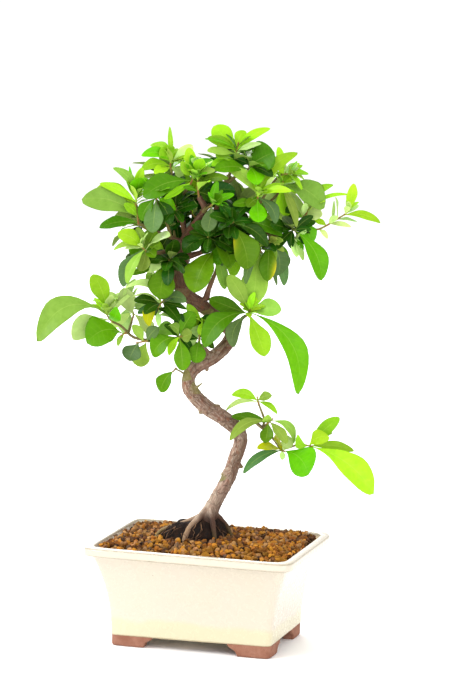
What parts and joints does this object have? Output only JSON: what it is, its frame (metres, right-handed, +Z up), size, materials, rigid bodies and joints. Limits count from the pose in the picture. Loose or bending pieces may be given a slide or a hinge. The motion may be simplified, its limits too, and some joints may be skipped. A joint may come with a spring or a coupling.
{
  "type": "firethorn bonsai",
  "caption": "Small tree with a winding trunk, spreading roots and leafy shoots, planted in granules in an oblong glazed pot on feet.",
  "frame": {"origin": "middle of the bottom of the whole object's box, on the ground under the pot", "axes": "+Z up, +X along the pot's long side to the viewer's right, -Y towards the side that the tree is shown from"},
  "size_m": [0.2198, 0.141, 0.363],
  "materials": {
    "glaze": "glossy cream glaze, bare brown clay on the feet",
    "granules": "rough baked clay granules",
    "peat": "dark crumbly root ball with fine fibres",
    "bark": "thin grey-brown bark with cracks",
    "mesh": "matte",
    "leaf_bright": "glossy leaves on a green stem",
    "leaf_dark": "glossy leaves on a green stem",
    "leaf_green": "glossy leaves on a green stem",
    "leaf_grey": "glossy leaves on a green stem",
    "leaf_lime": "glossy leaves on a green stem",
    "leaf_olive": "glossy leaves on a green stem",
    "leaf_pale": "glossy leaves on a green stem",
    "leaf_yellow": "glossy leaves on a green stem"
  },
  "bodies": {
    "root": {"pot": "glaze", "soil": "granules", "root_ball": "peat", "trunk": "bark", "drainage_mesh_left": "mesh", "drainage_mesh_right": "mesh", "spray_top_rosette": "leaf_green", "spray_top_right_leaves": "leaf_green", "spray_crown_front_rosette": "leaf_lime", "spray_upper_left_tuft": "leaf_lime", "spray_upper_left_big": "leaf_bright", "spray_left_centre_upper": "leaf_bright", "spray_left_sprig": "leaf_lime", "spray_left_rosette": "leaf_pale", "spray_left_hanging": "leaf_dark", "spray_lower_west": "leaf_dark", "spray_far_left_rosette": "leaf_lime", "spray_far_left_low": "leaf_bright", "spray_low_left_a": "leaf_grey", "spray_low_left_b": "leaf_green", "spray_low_left_c": "leaf_green", "spray_under_trunk_leaves": "leaf_lime", "spray_stray_leaf": "leaf_bright", "spray_right_rosette": "leaf_lime", "spray_right_crown_rosette": "leaf_lime", "spray_right_twig": "leaf_lime", "spray_right_big": "leaf_lime", "spray_far_right_sprig": "leaf_pale", "spray_right_fork": "leaf_lime", "spray_right_droop": "leaf_dark", "spray_east_end": "leaf_pale", "spray_right_hanging_a": "leaf_olive", "spray_right_hanging_b": "leaf_green", "spray_centre_right": "leaf_dark", "spray_centre_front": "leaf_bright", "spray_centre_dark": "leaf_dark", "spray_centre_hanging": "leaf_grey", "spray_fork_end": "leaf_green", "spray_low_right_top": "leaf_olive", "spray_low_right_mid": "leaf_olive", "spray_low_right_lower": "leaf_yellow", "spray_low_right_end": "leaf_lime", "spray_back_east": "leaf_green", "spray_back_east_upper": "leaf_green", "spray_back_high": "leaf_green", "spray_back_high_left": "leaf_green", "spray_back_middle": "leaf_green", "spray_back_west": "leaf_green", "spray_back_west_lower": "leaf_green", "spray_back_northwest": "leaf_green", "spray_inner_left": "leaf_dark", "spray_inner_right": "leaf_dark", "spray_core_upper": "leaf_dark", "spray_core_lower": "leaf_dark", "spray_core_left": "leaf_green", "spray_core_right": "leaf_dark", "spray_right_inner": "leaf_lime", "spray_left_under": "leaf_green", "spray_left_light": "leaf_pale"}
  },
  "joints": []
}
